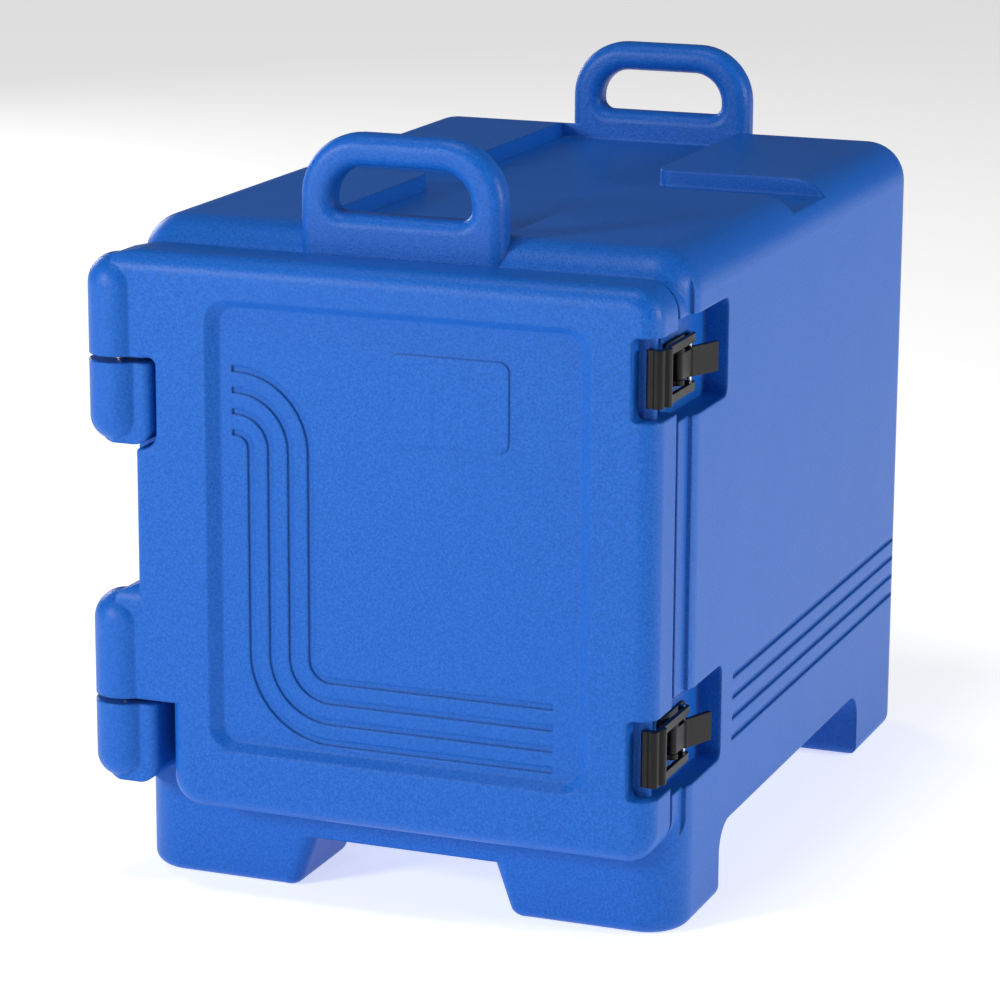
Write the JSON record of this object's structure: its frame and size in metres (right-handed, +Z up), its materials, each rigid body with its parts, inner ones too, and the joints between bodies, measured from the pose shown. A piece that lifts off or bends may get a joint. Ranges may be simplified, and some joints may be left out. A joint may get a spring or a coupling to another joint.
{
  "type": "insulated food carrier",
  "caption": "Front-loading insulated food carrier with foam-filled body and door, moulded handles, feet and pan rails, pin hinges and draw latches.",
  "frame": {"origin": "middle of the footprint's box, on the floor plane that the four feet stand on", "axes": "+Z up; +Y from the door to the back; +X towards the latch side, to the right when facing the door"},
  "size_m": [0.4844, 0.6905, 0.613],
  "materials": {
    "blue_polyethylene": "fine pebbled grain, satin",
    "insulation_foam": "fine closed-cell foam",
    "plug_plastic": "smooth satin",
    "gasket_rubber": "soft matt silicone",
    "stainless_steel": "drawn and polished",
    "black_nylon": "satin, slightly worn at the edges"
  },
  "bodies": {
    "carrier": {"body_shell": "blue_polyethylene", "body_foam": "insulation_foam", "body_foam_plug": "plug_plastic", "hinge_pin_upper": "stainless_steel", "hinge_pin_lower": "stainless_steel", "latch_upper_base": "black_nylon", "latch_upper_lever_pin": "stainless_steel", "latch_upper_screws": "stainless_steel", "latch_lower_base": "black_nylon", "latch_lower_lever_pin": "stainless_steel", "latch_lower_screws": "stainless_steel"},
    "door": {"door_shell": "blue_polyethylene", "door_foam": "insulation_foam", "door_foam_plug": "plug_plastic", "door_gasket": "gasket_rubber"},
    "upper_lever": {"latch_upper_lever": "black_nylon", "latch_upper_link_pin": "stainless_steel"},
    "upper_hook": {"latch_upper_hook": "black_nylon"},
    "lower_lever": {"latch_lower_lever": "black_nylon", "latch_lower_link_pin": "stainless_steel"},
    "lower_hook": {"latch_lower_hook": "black_nylon"}
  },
  "joints": [
    {"name": "door_hinge", "type": "hinge", "parent": "carrier", "child": "door", "pos_m": [-0.21775, -0.32075, 0.29], "axis": [0, 0, -1], "range_deg": [0, 200]},
    {"name": "upper_lever_pivot", "type": "hinge", "parent": "carrier", "child": "upper_lever", "pos_m": [0.22625, -0.27575, 0.451], "axis": [0, 0, -1], "range_deg": [0, 150]},
    {"name": "upper_hook_pivot", "type": "hinge", "parent": "upper_lever", "child": "upper_hook", "pos_m": [0.22775, -0.25275, 0.451], "axis": [0, 0, 1], "range_deg": [0, 180]},
    {"name": "lower_lever_pivot", "type": "hinge", "parent": "carrier", "child": "lower_lever", "pos_m": [0.22625, -0.27575, 0.157], "axis": [0, 0, -1], "range_deg": [0, 150]},
    {"name": "lower_hook_pivot", "type": "hinge", "parent": "lower_lever", "child": "lower_hook", "pos_m": [0.22775, -0.25275, 0.157], "axis": [0, 0, 1], "range_deg": [0, 180]}
  ],
  "couplings": [
    {"joint": "upper_hook_pivot", "follows": "upper_lever_pivot", "ratio": 1.2},
    {"joint": "lower_hook_pivot", "follows": "lower_lever_pivot", "ratio": 1.2}
  ]
}
